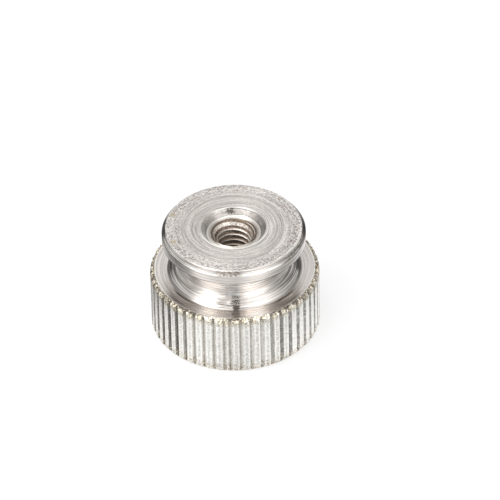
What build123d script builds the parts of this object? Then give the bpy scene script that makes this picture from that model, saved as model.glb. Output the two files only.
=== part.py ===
from build123d import *
import math
import os

# Knurled thumb nut, turned in one piece from round bar and nickel plated.
# It stands on its knurled head, with the threaded hole along +Z.
# All lengths are millimetres and all angles are degrees.

# Overall sizes
HEAD_DIAMETER = 13.0
OVERALL_HEIGHT = 9.0

# Chamfers of the knurled head, at its foot and at its shoulder
FOOT_CHAMFER_WIDTH = 0.28
FOOT_CHAMFER_HEIGHT = 0.30
SHOULDER_CHAMFER_WIDTH = 0.32
SHOULDER_CHAMFER_HEIGHT = 0.26

# Straight knurl, rolled round the head at the pitch of its wheel. Each groove
# has a wide flank on one side and a steep flank on the other.
KNURL_PITCH = 0.824
KNURL_DEPTH = 0.20
KNURL_FLOOR_WIDTH = 0.05
KNURL_WIDE_FLANK_ANGLE = 50.0
KNURL_STEEP_FLANK_ANGLE = 25.0
KNURL_SEAM_ANGLE = -94.5

# Flat shoulder, then the flare that rises from it to the tool line
SHOULDER_WIDTH = 1.03
FLARE_WIDTH = 0.68
FLARE_HEIGHT = 0.54

# Waisted neck: a small blend above the tool line, then a short straight land
NECK_BLEND_WIDTH = 0.32
NECK_BLEND_HEIGHT = 0.62
NECK_LAND_HEIGHT = 0.42

# Collar, set back from the rim of the head
COLLAR_SETBACK = 1.00
COLLAR_BAND_HEIGHT = 0.74
COLLAR_CHAMFER_WIDTH = 0.28
COLLAR_CHAMFER_HEIGHT = 0.37
COLLAR_EDGE_RADIUS = 0.08
UNDER_COLLAR_FLAT = 0.07

# Hole for an M3 x 0.5 thread, at the thread's inner diameter. Its mouth is
# a wide cone, then a ledge, then a steep lead-in.
THREAD_MINOR_DIAMETER = 2.5
LEAD_IN_WIDTH = 0.37
LEAD_IN_DEPTH = 0.55
LEDGE_WIDTH = 0.45
LEDGE_DROP = 0.05
MOUTH_CONE_WIDTH = 0.43
MOUTH_CONE_DEPTH = 0.50
FOOT_COUNTERSINK_WIDTH = 0.40
FOOT_COUNTERSINK_DEPTH = 0.40

# Radii, from the rim of the head inwards
head_radius = HEAD_DIAMETER / 2
shoulder_radius = head_radius - SHOULDER_CHAMFER_WIDTH
flare_foot_radius = shoulder_radius - SHOULDER_WIDTH
tool_line_radius = flare_foot_radius - FLARE_WIDTH
neck_radius = tool_line_radius - NECK_BLEND_WIDTH
collar_radius = head_radius - COLLAR_SETBACK
collar_face_radius = collar_radius - COLLAR_CHAMFER_WIDTH

# Radii of the hole, from its wall outwards
bore_radius = THREAD_MINOR_DIAMETER / 2
ledge_radius = bore_radius + LEAD_IN_WIDTH
mouth_floor_radius = ledge_radius + LEDGE_WIDTH
mouth_radius = mouth_floor_radius + MOUTH_CONE_WIDTH

# A quarter round fills the overhang of the collar, up to a narrow flat.
under_collar_edge = collar_radius - COLLAR_EDGE_RADIUS - UNDER_COLLAR_FLAT
under_collar_radius = under_collar_edge - neck_radius

# Heights, from the collar's face downwards. The head takes what is left.
collar_chamfer_z = OVERALL_HEIGHT - COLLAR_CHAMFER_HEIGHT
collar_foot_z = collar_chamfer_z - COLLAR_BAND_HEIGHT
neck_top_z = collar_foot_z - under_collar_radius
neck_foot_z = neck_top_z - NECK_LAND_HEIGHT
tool_line_z = neck_foot_z - NECK_BLEND_HEIGHT
head_height = tool_line_z - FLARE_HEIGHT
mouth_floor_z = OVERALL_HEIGHT - MOUTH_CONE_DEPTH
ledge_z = mouth_floor_z - LEDGE_DROP
lead_in_z = ledge_z - LEAD_IN_DEPTH

# The pitch doesn't divide the rim evenly, so the last tooth is narrower.
knurl_turn = 360 * KNURL_PITCH / (math.pi * HEAD_DIAMETER)
groove_count = round(360 / knurl_turn)
knurl_span = knurl_turn * (groove_count - 1)

# Each groove is drawn a little past the rim, so that it cuts through cleanly.
groove_overshoot = KNURL_DEPTH / 2
groove_reach = KNURL_DEPTH + groove_overshoot
groove_floor_half = KNURL_FLOOR_WIDTH / 2
wide_flank = groove_reach * math.tan(math.radians(KNURL_WIDE_FLANK_ANGLE))
steep_flank = groove_reach * math.tan(math.radians(KNURL_STEEP_FLANK_ANGLE))

with BuildPart() as thumb_nut:
    # Half section through the axis, with the radius along X
    with BuildSketch(Plane.XZ):
        with BuildLine():
            Polyline(
                (bore_radius, FOOT_COUNTERSINK_DEPTH),
                (bore_radius + FOOT_COUNTERSINK_WIDTH, 0),
                (head_radius - FOOT_CHAMFER_WIDTH, 0),
                (head_radius, FOOT_CHAMFER_HEIGHT),
                (head_radius, head_height - SHOULDER_CHAMFER_HEIGHT),
                (shoulder_radius, head_height),
                (flare_foot_radius, head_height),
                (tool_line_radius, tool_line_z),
            )
            TangentArc(
                (neck_radius, neck_foot_z),
                (tool_line_radius, tool_line_z),
                tangent=(0, -1),
            )
            Line((neck_radius, neck_foot_z), (neck_radius, neck_top_z))
            TangentArc(
                (neck_radius, neck_top_z),
                (under_collar_edge, collar_foot_z),
                tangent=(0, 1),
            )
            Line(
                (under_collar_edge, collar_foot_z),
                (collar_radius - COLLAR_EDGE_RADIUS, collar_foot_z),
            )
            TangentArc(
                (collar_radius - COLLAR_EDGE_RADIUS, collar_foot_z),
                (collar_radius, collar_foot_z + COLLAR_EDGE_RADIUS),
                tangent=(1, 0),
            )
            Polyline(
                (collar_radius, collar_foot_z + COLLAR_EDGE_RADIUS),
                (collar_radius, collar_chamfer_z),
                (collar_face_radius, OVERALL_HEIGHT),
                (mouth_radius, OVERALL_HEIGHT),
                (mouth_floor_radius, mouth_floor_z),
                (ledge_radius, ledge_z),
                (bore_radius, lead_in_z),
                (bore_radius, FOOT_COUNTERSINK_DEPTH),
            )
        make_face()
    revolve(axis=Axis.Z)

    # Knurl grooves, cut the full height of the head through both chamfers
    with BuildSketch(Plane.XY):
        with PolarLocations(
            head_radius,
            groove_count,
            KNURL_SEAM_ANGLE,
            knurl_span,
            endpoint=True,
        ):
            Polygon(
                (groove_overshoot, -groove_floor_half - steep_flank),
                (groove_overshoot, groove_floor_half + wide_flank),
                (-KNURL_DEPTH, groove_floor_half),
                (-KNURL_DEPTH, -groove_floor_half),
                align=None,
            )
    extrude(amount=head_height, mode=Mode.SUBTRACT)

thumb_nut.part.label = "thumb_nut"

os.makedirs("parts", exist_ok=True)
export_step(thumb_nut.part, "parts/thumb_nut.step")
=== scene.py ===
import math

import bpy
from mathutils import Matrix, Vector


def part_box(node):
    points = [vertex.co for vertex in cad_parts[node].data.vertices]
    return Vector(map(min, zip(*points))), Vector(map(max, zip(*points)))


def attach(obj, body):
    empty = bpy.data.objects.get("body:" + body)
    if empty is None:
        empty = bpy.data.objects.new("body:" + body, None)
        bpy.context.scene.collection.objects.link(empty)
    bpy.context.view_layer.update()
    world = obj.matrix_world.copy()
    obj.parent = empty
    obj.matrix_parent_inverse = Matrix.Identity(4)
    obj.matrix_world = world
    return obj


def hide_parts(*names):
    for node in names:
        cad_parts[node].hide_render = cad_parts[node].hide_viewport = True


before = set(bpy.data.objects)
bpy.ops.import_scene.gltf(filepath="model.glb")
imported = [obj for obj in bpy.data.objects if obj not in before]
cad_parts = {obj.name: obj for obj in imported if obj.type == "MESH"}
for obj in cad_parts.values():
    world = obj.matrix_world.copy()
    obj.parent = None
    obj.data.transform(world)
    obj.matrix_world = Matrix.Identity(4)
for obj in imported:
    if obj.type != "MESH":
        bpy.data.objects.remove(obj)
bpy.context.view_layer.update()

# The nut is drawn in millimetres inside its node tree, which ends in metres.
MM = 0.001
NODE = "thumb_nut"
_, node_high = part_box(NODE)

# Outside sizes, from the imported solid
HEAD_RADIUS = node_high[1] / MM
OVERALL_HEIGHT = node_high[2] / MM

# Knurled head
FOOT_CHAMFER_WIDTH = 0.28
FOOT_CHAMFER_HEIGHT = 0.30
SHOULDER_CHAMFER_WIDTH = 0.32
SHOULDER_CHAMFER_HEIGHT = 0.26
HEAD_HEIGHT = 5.11

# Straight knurl, with each flank measured from the middle of the groove's floor
KNURL_PITCH = 0.824
KNURL_TEETH = round(math.tau * HEAD_RADIUS / KNURL_PITCH)
KNURL_DEPTH = 0.20
KNURL_FLOOR_HALF = 0.025
KNURL_WIDE_FLANK = 0.26
KNURL_STEEP_FLANK = 0.12
KNURL_SEAM_ANGLE = -94.5
KNURL_EDGE = 0.03
KNURL_HOLLOW = 0.014

# Wander of the teeth's flanks, depth of the streaks along them, and burr at their ends
KNURL_WOBBLE = 0.09
KNURL_STREAKS = 0.02
KNURL_BURR = 0.06

# Flare, waisted neck and collar
FLARE_FOOT_RADIUS = 5.15
TOOL_LINE_RADIUS = 4.47
TOOL_LINE_HEIGHT = 5.65
NECK_RADIUS = 4.15
NECK_FOOT_HEIGHT = 6.27
NECK_TOP_HEIGHT = 6.69
COLLAR_RADIUS = 5.5
COLLAR_FOOT_HEIGHT = 7.89
COLLAR_CHAMFER_WIDTH = 0.28
COLLAR_CHAMFER_HEIGHT = 0.37
COLLAR_EDGE_RADIUS = 0.08
FACE_RIM_RADIUS = COLLAR_RADIUS - COLLAR_CHAMFER_WIDTH
CHAMFER_FOOT_HEIGHT = OVERALL_HEIGHT - COLLAR_CHAMFER_HEIGHT

# Mouth of the hole and the M3 x 0.5 thread
MOUTH_RADIUS = 2.5
MOUTH_FLOOR_RADIUS = 2.07
MOUTH_FLOOR_HEIGHT = 8.5
LEDGE_RADIUS = 1.62
LEDGE_HEIGHT = 8.45
LEAD_IN_HEIGHT = 7.9
THREAD_MINOR_RADIUS = 1.25
THREAD_MAJOR_RADIUS = 1.5
THREAD_PITCH = 0.5
FOOT_COUNTERSINK_RADIUS = 1.65
FOOT_COUNTERSINK_HEIGHT = 0.4

# Flat rings close the skin: the foot outside the thread, the shoulder between the rim and
# the turned part, and the ledge. Each section runs this far into its ring.
FOOT_LAP = 0.2
RIM_LAP = 0.06
SHOULDER_LAP = 0.12
LEDGE_LAP = 0.04

# Relief of the turning rings, and how finely the nut is drawn
RING_RELIEF = 0.003
FACE_RELIEF = 0.0006
SECTION_STEP = 0.11
RIM_STEP = 0.16
COLUMNS = 360
SEED = 3.0

# Camera, fitted to the circles of the nut in the photograph
PHOTO_SIZE = 500
PIXELS_PER_MM = 13.05
CAMERA_ELEVATION = 39.5
CAMERA_DISTANCE = 450.0
CAMERA_ROLL = 1.45
AIM_HEIGHT = 4.5
AIM_PIXEL = (234.77, 273.0)
SENSOR_WIDTH = 36.0

# Brightness of the room: as it lights the floor, and as the metal shows it
ROOM_FILL = 0.6
ROOM_REFLECTION = 0.25

# Brightness of the walls round the nut, by the angle from the front
LIGHT_WALL = [
    (-180, 1.0),
    (-155, 1.0),
    (-140, 0.25),
    (-125, 0.25),
    (-108, 0.6),
    (-95, 0.9),
    (-80, 0.75),
    (-66, 1.35),
    (-56, 2.6),
    (-50, 2.8),
    (-38, 1.8),
    (-26, 0.5),
    (-14, 0.25),
    (-6, 0.1),
    (5, 0.08),
    (10, 0.5),
    (16, 2.8),
    (35, 3.6),
    (55, 3.4),
    (70, 2.2),
    (85, 1.1),
    (100, 0.45),
    (125, 0.2),
    (140, 0.5),
    (155, 1.0),
    (180, 1.0),
]
LOW_WALL_RIGHT = [(88, 0.3), (100, 1.7), (118, 1.6), (130, 0.8)]
LOW_WALL_LEFT = [(-azimuth, shade) for azimuth, shade in LOW_WALL_RIGHT]
LEFT_CARD = [(-125, 0.7), (-105, 0.3), (-90, 0.05), (-70, 0.05), (-57, 0.7)]
LEFT_NEAR_CARD = [(-125, 0.9), (-115, 0.5), (-95, 0.5), (-88, 0.95)]
RIGHT_CARD = [(38, 0.9), (48, 0.3), (60, 0.18), (75, 0.28), (95, 0.55), (120, 1.0)]
FRONT_CARD = [(-26, 1.0), (-14, 0.95), (-7, 0.85), (5, 0.85), (13, 0.95), (22, 1.0)]
DIM_LEFT = [(azimuth, 0.03) for azimuth in range(-162, -122, 6)]
DIM_RIGHT = [(azimuth, 0.03) for azimuth in range(126, 168, 6)]

# Cards round the nut that show only in the metal: radius and height of the first and the
# last edge in millimetres, and the shades by angle
CARDS = [
    ("light_wall", (500.0, 100.0), (500.0, 1100.0), LIGHT_WALL),
    ("front_card", (6.9, 0.1), (200.0, 0.1), FRONT_CARD),
    ("left_card", (12.0, 0.1), (60.0, 0.1), LEFT_CARD),
    ("right_card", (12.0, 0.1), (60.0, 0.1), RIGHT_CARD),
    ("left_near_card", (6.9, 0.1), (12.0, 0.1), LEFT_NEAR_CARD),
    ("right_low_wall", (500.0, 5.0), (500.0, 99.0), LOW_WALL_RIGHT),
    ("left_low_wall", (500.0, 5.0), (500.0, 99.0), LOW_WALL_LEFT),
    ("low_left", (35.0, 0.0), (35.0, 20.0), DIM_LEFT),
    ("low_right", (35.0, 0.0), (35.0, 20.0), DIM_RIGHT),
]

# Floor and lamp, in metres and watts
FLOOR_HALF = 1.5
LAMP_PLACE = (-0.25, -0.15, 0.6)
LAMP_SIZE = 0.5
LAMP_POWER = 4.5

# Dirt and wear. Angles are degrees from the front, with the right side positive.
STREAK_ANGLE = -2.0
STREAK_HEIGHT = 5.32
MOUTH_SMUDGE = (-0.17, 2.29, 8.76)
TAN_SPOTS = [((-4.60, 1.69, 9.0), 0.30), ((-4.59, -1.60, 9.0), 0.28)]
BURR_REACH = 0.27
BUMP_DEPTH = 0.02

# Painted highlights in bright rings all round the shoulder: inner and outer radius, and strength
SHOULDER_RINGS = [(5.42, 5.47, 0.35), (5.76, 5.81, 0.3), (6.06, 6.16, 0.6)]

# Painted light and shade: a light and a dark ring on the shoulder beside the front: inner
# and outer radius, softness, and by how much
SHOULDER_SIDE_RINGS = [(5.45, 5.62, 0.04, 0.3), (5.78, 6.02, 0.05, -0.3)]

# Painted light and shade on the flare, blend and neck, lighter or darker by place: from and to
# angle, softness of those ends, from and to height, and by how much
NECK_SHADES = [
    (-18.0, -4.0, 3.0, 5.16, 5.35, -0.34),
    (-18.0, -9.0, 3.0, 5.16, 5.35, -0.14),
    (-18.0, -9.0, 3.0, 5.35, 5.62, -0.42),
    (-12.0, -1.0, 3.0, 5.70, 6.35, 0.40),
    (-8.0, 3.0, 1.5, 5.40, 6.00, 0.34),
    (-5.0, 5.0, 2.5, 5.80, 7.60, 0.20),
    (-16.0, -4.0, 3.0, 6.00, 7.20, 0.20),
    (-50.0, -34.0, 4.0, 6.00, 7.20, 0.15),
    (-75.0, -42.0, 5.0, 5.40, 5.60, 0.13),
    (-42.0, -34.0, 4.0, 5.16, 5.60, -0.08),
    (-110.0, -56.0, 8.0, 5.70, 6.00, -0.42),
    (-50.0, -34.0, 4.0, 5.70, 6.00, -0.07),
    (-110.0, -67.0, 3.0, 5.16, 5.40, -0.09),
    (21.0, 30.0, 4.0, 6.00, 7.20, 0.10),
    (61.0, 75.0, 4.0, 6.00, 7.20, 0.26),
    (34.0, 68.0, 6.0, 5.72, 5.98, -0.22),
    (57.0, 67.0, 3.0, 5.75, 6.25, -0.12),
    (32.0, 41.0, 3.0, 5.16, 5.40, -0.06),
    (47.0, 60.0, 3.0, 5.16, 5.40, 0.08),
    (68.0, 110.0, 4.0, 5.16, 5.40, -0.10),
    (61.0, 110.0, 7.0, 5.40, 5.62, -0.20),
]

# Painted light and shade on the collar's band and chamfer, lighter or darker by place: from and
# to angle, softness of those ends, and by how much at the top and at the foot
BAND_SHADES = [
    (-8.0, 150.0, 8.0, 0.155, 0.37),
    (-10.0, 12.0, 5.0, 0.05, 0.05),
    (49.0, 150.0, 7.0, -0.22, 0.28),
    (55.0, 63.0, 3.0, -0.07, 0.33),
    (-150.0, -74.0, 4.0, -0.25, 0.05),
    (-64.0, -54.0, 5.0, 0.13, 0.10),
    (-41.0, -33.0, 3.0, -0.13, 0.0),
    (-28.0, -8.0, 5.0, -0.03, 0.12),
]
CHAMFER_SHADES = [
    (-38.0, -12.0, 5.0, -0.36, -0.36),
    (10.0, 36.0, 5.0, -0.12, -0.12),
    (5.0, 42.0, 4.0, 0.08, -0.16),
    (44.0, 56.0, 4.0, 0.08, 0.24),
    (64.0, 100.0, 8.0, 0.23, -0.49),
    (-90.0, -64.0, 4.0, -0.25, -0.02),
    (-53.0, -43.0, 4.0, 0.22, -0.01),
]


class Field:
    """A value inside a node tree, which takes plain arithmetic."""

    def __init__(self, nodes, socket):
        self.nodes = nodes
        self.socket = socket

    def __add__(self, other):
        return self.nodes.math("ADD", self, other)

    __radd__ = __add__

    def __sub__(self, other):
        return self.nodes.math("SUBTRACT", self, other)

    def __rsub__(self, other):
        return self.nodes.math("SUBTRACT", other, self)

    def __mul__(self, other):
        return self.nodes.math("MULTIPLY", self, other)

    __rmul__ = __mul__

    def __truediv__(self, other):
        return self.nodes.math("DIVIDE", self, other)


class Nodes:
    """A node tree under construction."""

    def __init__(self, tree):
        self.tree = tree

    def feed(self, socket, value):
        """Links a field or a socket, or sets a plain value."""
        if isinstance(value, Field):
            value = value.socket
        if isinstance(value, bpy.types.NodeSocket):
            self.tree.links.new(value, socket)
        else:
            socket.default_value = value

    def add(self, kind, inputs=None, **settings):
        """Adds a node with its settings and inputs, and returns it."""
        node = self.tree.nodes.new(kind)
        for name, value in settings.items():
            setattr(node, name, value)
        for name, value in (inputs or {}).items():
            self.feed(node.inputs[name], value)
        return node

    def field(self, kind, inputs=None, output=0, **settings):
        """Adds a node and returns one of its outputs as a field."""
        return Field(self, self.add(kind, inputs, **settings).outputs[output])

    def math(self, operation, *values):
        """One step of arithmetic on fields and plain values."""
        inputs = dict(enumerate(values))
        return self.field("ShaderNodeMath", inputs, operation=operation)

    def low(self, a, b):
        return self.math("MINIMUM", a, b)

    def high(self, a, b):
        return self.math("MAXIMUM", a, b)

    def unit(self, a):
        """The value held between nought and one."""
        return self.field("ShaderNodeClamp", {"Value": a})

    def ramp(self, value, start, end, first=0.0, last=1.0, shape="SMOOTHSTEP"):
        """Goes from first to last as the value goes from start to end."""
        inputs = {
            "Value": value,
            "From Min": start,
            "From Max": end,
            "To Min": first,
            "To Max": last,
        }
        return self.field("ShaderNodeMapRange", inputs, interpolation_type=shape)

    def band(self, value, start, end, edge):
        """One between start and end, with soft edges, and nought outside."""
        rise = self.ramp(value, start - edge, start + edge)
        return rise * self.ramp(value, end + edge, end - edge)

    def blend(self, share, first, second):
        """Goes from the first colour to the second."""
        inputs = {0: share, 6: first, 7: second}
        return self.field("ShaderNodeMix", inputs, output=2, data_type="RGBA")

    def tone(self, colour, value):
        """A colour made lighter or darker."""
        if isinstance(colour, tuple):
            colour = colour[:3]
        return self.field("ShaderNodeVectorMath", {0: colour, "Scale": value}, operation="SCALE")

    def group(self, tree, inputs):
        """Adds a group and returns its outputs by name."""
        kind = self.tree.bl_idname.replace("NodeTree", "NodeGroup")
        node = self.add(kind, inputs, node_tree=tree)
        return {socket.name: Field(self, socket) for socket in node.outputs}

    def split(self, vector):
        """The three parts of a vector."""
        node = self.add("ShaderNodeSeparateXYZ", {"Vector": vector})
        return [Field(self, socket) for socket in node.outputs]

    def join(self, x, y, z):
        """A vector from its three parts."""
        return self.field("ShaderNodeCombineXYZ", {"X": x, "Y": y, "Z": z})

    def noise(self, vector, scale, detail=2.0, roughness=0.5, seed=0.0):
        """Smooth noise between nought and one; a seed shifts it sideways."""
        inputs = {
            "Vector": vector,
            "W": seed,
            "Scale": scale,
            "Detail": detail,
            "Roughness": roughness,
        }
        return self.field("ShaderNodeTexNoise", inputs, noise_dimensions="4D")


# Kinds of sockets
FLOAT = "NodeSocketFloat"
INTEGER = "NodeSocketInt"
BOOLEAN = "NodeSocketBool"
VECTOR = "NodeSocketVector"
GEOMETRY = "NodeSocketGeometry"
OBJECT = "NodeSocketObject"


def new_group(name, kind, inputs, outputs):
    """Makes a node group and returns its nodes, its inputs by name and its output node."""
    tree = bpy.data.node_groups.new(name, kind)
    for label, socket_type, default in inputs:
        socket = tree.interface.new_socket(label, in_out="INPUT", socket_type=socket_type)
        if default is not None:
            socket.default_value = default
    for label, socket_type in outputs:
        tree.interface.new_socket(label, in_out="OUTPUT", socket_type=socket_type)
    nodes = Nodes(tree)
    source = tree.nodes.new("NodeGroupInput")
    fields = {}
    for label, _, _ in inputs:
        fields[label] = Field(nodes, source.outputs[label])
    sink = tree.nodes.new("NodeGroupOutput")
    return nodes, fields, sink


def into_scene(name, data):
    """A new object in the scene."""
    piece = bpy.data.objects.new(name, data)
    bpy.context.scene.collection.objects.link(piece)
    return piece


def end_in(nodes, shader, kind="ShaderNodeOutputMaterial"):
    """Makes a shader the surface of a material or of the room."""
    nodes.feed(nodes.add(kind).inputs["Surface"], shader.outputs[0])


# Geometry of the nut


def lathe_grid_group():
    """A grid with a row for each point of a section, which knows the point's place."""
    nodes, given, sink = new_group(
        "lathe_grid",
        "GeometryNodeTree",
        [
            ("Section", GEOMETRY, None),
            ("Columns", INTEGER, COLUMNS),
        ],
        [
            ("Mesh", GEOMETRY),
            ("Column", FLOAT),
            ("Radius", FLOAT),
            ("Height", FLOAT),
        ],
    )
    rows = nodes.field(
        "GeometryNodeAttributeDomainSize", {"Geometry": given["Section"]}, component="CURVE"
    )
    grid = nodes.add(
        "GeometryNodeMeshGrid",
        {"Size X": 1.0, "Size Y": 1.0, "Vertices X": given["Columns"] + 1, "Vertices Y": rows},
    )
    across, along, _ = nodes.split(grid.outputs["UV Map"])
    row = nodes.math("ROUND", along * (rows - 1))
    sample = nodes.add(
        "GeometryNodeSampleIndex",
        {
            "Geometry": given["Section"],
            "Value": nodes.field("GeometryNodeInputPosition"),
            "Index": row,
        },
        data_type="FLOAT_VECTOR",
        domain="POINT",
        clamp=True,
    )
    radius, _, height = nodes.split(sample.outputs["Value"])
    mesh = grid.outputs["Mesh"]
    values = {
        "Column": nodes.math("ROUND", across * given["Columns"]),
        "Radius": radius,
        "Height": height,
    }
    for name, value in values.items():
        capture = nodes.add("GeometryNodeCaptureAttribute", domain="POINT")
        capture.capture_items.new("FLOAT", name)
        nodes.feed(capture.inputs["Geometry"], mesh)
        nodes.feed(capture.inputs[name], value)
        nodes.feed(sink.inputs[name], capture.outputs[name])
        mesh = capture.outputs["Geometry"]
    nodes.feed(sink.inputs["Mesh"], mesh)
    return nodes.tree


def fine_section_group():
    """Rounds the corners of a section, adds points to its long runs and cuts turning rings."""
    nodes, given, sink = new_group(
        "fine_section",
        "GeometryNodeTree",
        [
            ("Section", GEOMETRY, None),
            ("Step", FLOAT, SECTION_STEP),
            ("Ring Relief", FLOAT, RING_RELIEF),
            ("Face Relief", FLOAT, FACE_RELIEF),
            ("Rings", FLOAT, 4.0),
            ("Collar Foot", FLOAT, COLLAR_FOOT_HEIGHT),
            ("Seed", FLOAT, 0.0),
        ],
        [("Section", GEOMETRY)],
    )
    round_corners = nodes.add(
        "GeometryNodeFilletCurve",
        {
            "Curve": given["Section"],
            "Radius": nodes.field("GeometryNodeInputRadius"),
            "Limit Radius": True,
            "Count": 3,
        },
        mode="POLY",
    )
    place = nodes.field("GeometryNodeInputPosition")
    index = nodes.field("GeometryNodeInputIndex")
    following = nodes.field(
        "GeometryNodeFieldAtIndex", {"Index": index + 1, "Value": place},
        data_type="FLOAT_VECTOR", domain="POINT",
    )
    run = nodes.add("ShaderNodeVectorMath", {0: place, 1: following}, operation="DISTANCE")
    cuts = nodes.math("FLOOR", Field(nodes, run.outputs["Value"]) / given["Step"])
    finer = nodes.add(
        "GeometryNodeSubdivideCurve",
        {"Curve": round_corners.outputs["Curve"], "Cuts": nodes.low(cuts, 60.0)},
    )
    radius, _, height = nodes.split(place)
    along_x, _, along_z = nodes.split(nodes.field("GeometryNodeInputTangent"))
    rings = nodes.noise(nodes.join(radius, 0.0, height), given["Rings"], 3.0, 0.6, given["Seed"])
    on_neck = nodes.math("LESS_THAN", height, given["Collar Foot"])
    relief = given["Face Relief"] + (given["Ring Relief"] - given["Face Relief"]) * on_neck
    lift = (rings - 0.5) * relief * 2.0
    cut = nodes.add(
        "GeometryNodeSetPosition",
        {
            "Geometry": finer.outputs["Curve"],
            "Offset": nodes.join(along_z * lift, 0.0, along_x * lift * -1.0),
        },
    )
    nodes.feed(sink.inputs["Section"], cut.outputs["Geometry"])
    return nodes.tree


def round_point(nodes, angle, radius, height):
    """A point by its angle and radius about the axis and its height."""
    return nodes.join(nodes.math("COSINE", angle) * radius, nodes.math("SINE", angle) * radius, height)


def place_round(nodes, mesh, angle, radius, height):
    """Sets each point of a mesh by its angle, radius and height."""
    place = round_point(nodes, angle, radius, height)
    return nodes.add("GeometryNodeSetPosition", {"Geometry": mesh, "Position": place})


def turned_skin_group(lathe_grid):
    """The surface of revolution from the shoulder, over the collar, to the ledge in the mouth."""
    nodes, given, sink = new_group(
        "turned_skin",
        "GeometryNodeTree",
        [
            ("Section", GEOMETRY, None),
            ("Columns", INTEGER, COLUMNS),
        ],
        [("Mesh", GEOMETRY)],
    )
    grid = nodes.group(lathe_grid, {"Section": given["Section"], "Columns": given["Columns"]})
    angle = grid["Column"] / given["Columns"] * math.tau
    is_face = nodes.math("GREATER_THAN", grid["Height"], OVERALL_HEIGHT - 0.004)
    mesh = store(nodes, grid["Mesh"], "faced", is_face)
    skin = place_round(nodes, mesh, angle, grid["Radius"], grid["Height"])
    nodes.feed(sink.inputs["Mesh"], skin.outputs["Geometry"])
    return nodes.tree


def store(nodes, mesh, name, value):
    """Keeps a value on the points of a mesh for the materials to read."""
    node = nodes.add(
        "GeometryNodeStoreNamedAttribute",
        {"Geometry": mesh, "Name": name, "Value": value},
        data_type="FLOAT",
        domain="POINT",
    )
    return node.outputs["Geometry"]


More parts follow.
